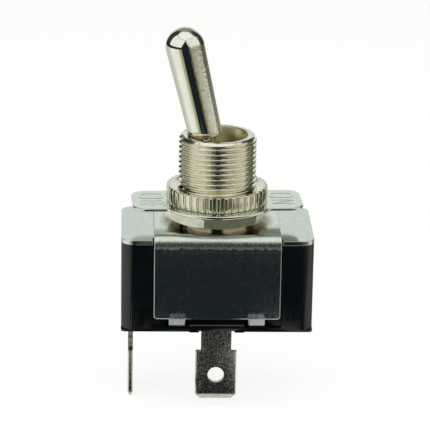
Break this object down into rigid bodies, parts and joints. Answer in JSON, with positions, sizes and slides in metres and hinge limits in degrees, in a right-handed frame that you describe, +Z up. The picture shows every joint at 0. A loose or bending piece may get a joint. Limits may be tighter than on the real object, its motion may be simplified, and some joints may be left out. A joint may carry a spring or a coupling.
{
  "type": "panel toggle switch",
  "caption": "Two-position toggle switch with a bat lever, a threaded bushing with nuts and legend plate, a strapped moulded case and flat push-on terminals.",
  "frame": {"origin": "on the bushing's axis, in the plane of the face nut's top, where a mating part seats", "axes": "+X along the case towards the on side, +Y towards the back, +Z up the bushing"},
  "size_m": [0.0294, 0.018, 0.0587],
  "materials": {
    "phenolic": "moulded black, glossy",
    "plated_steel": "bright zinc plated sheet",
    "nickel_plate": "nickel plated",
    "bright_nickel": "polished and nickel plated",
    "fibre": "vulcanised fibre sheet",
    "nylon": "moulded, natural",
    "spring_steel": "drawn wire",
    "copper_alloy": "rolled strip",
    "silver": "headed silver alloy",
    "tinned_brass": "matt tin over brass strip"
  },
  "bodies": {
    "case_assembly": {"case": "phenolic", "mounting_strap": "plated_steel", "cover_plate": "plated_steel", "liner": "fibre", "bushing": "nickel_plate", "common_terminal": "tinned_brass", "line_terminal": "tinned_brass", "fixed_contact": "silver", "legend_plate": "plated_steel"},
    "lever_assembly": {"lever": "bright_nickel", "pivot_pin": "plated_steel", "plunger_spring": "spring_steel"},
    "plunger": {"plunger": "nylon"},
    "rocker_assembly": {"rocker": "copper_alloy", "moving_contact": "silver"},
    "hex_nut": {"hex_nut": "nickel_plate"},
    "knurled_nut": {"knurled_nut": "nickel_plate"}
  },
  "joints": [
    {"name": "lever_toggle", "type": "hinge", "parent": "case_assembly", "child": "lever_assembly", "pos_m": [0, 0, -0.00014], "axis": [0, 1, 0], "range_deg": [0, 26.8]},
    {"name": "rocker_tilt", "type": "hinge", "parent": "case_assembly", "child": "rocker_assembly", "pos_m": [0, 0, -0.01465], "axis": [0, 1, 0], "range_deg": [-11, 0]},
    {"name": "plunger_slide", "type": "slide", "parent": "lever_assembly", "child": "plunger", "axis": [-0.2317, 0, 0.9728], "range_m": [0, 0.0008], "stiffness_N_per_m": 400, "springref_m": -0.003, "deforming": ["plunger_spring"]},
    {"name": "hex_nut_spin", "type": "hinge", "parent": "case_assembly", "child": "hex_nut", "pos_m": [0, 0, -0.00405], "axis": [0, 0, 1], "continuous": true},
    {"name": "knurled_nut_spin", "type": "hinge", "parent": "case_assembly", "child": "knurled_nut", "pos_m": [0, 0, -0.00125], "axis": [0, 0, 1], "continuous": true}
  ],
  "couplings": [
    {"joint": "rocker_tilt", "follows": "lever_toggle", "ratio": -0.4104}
  ]
}
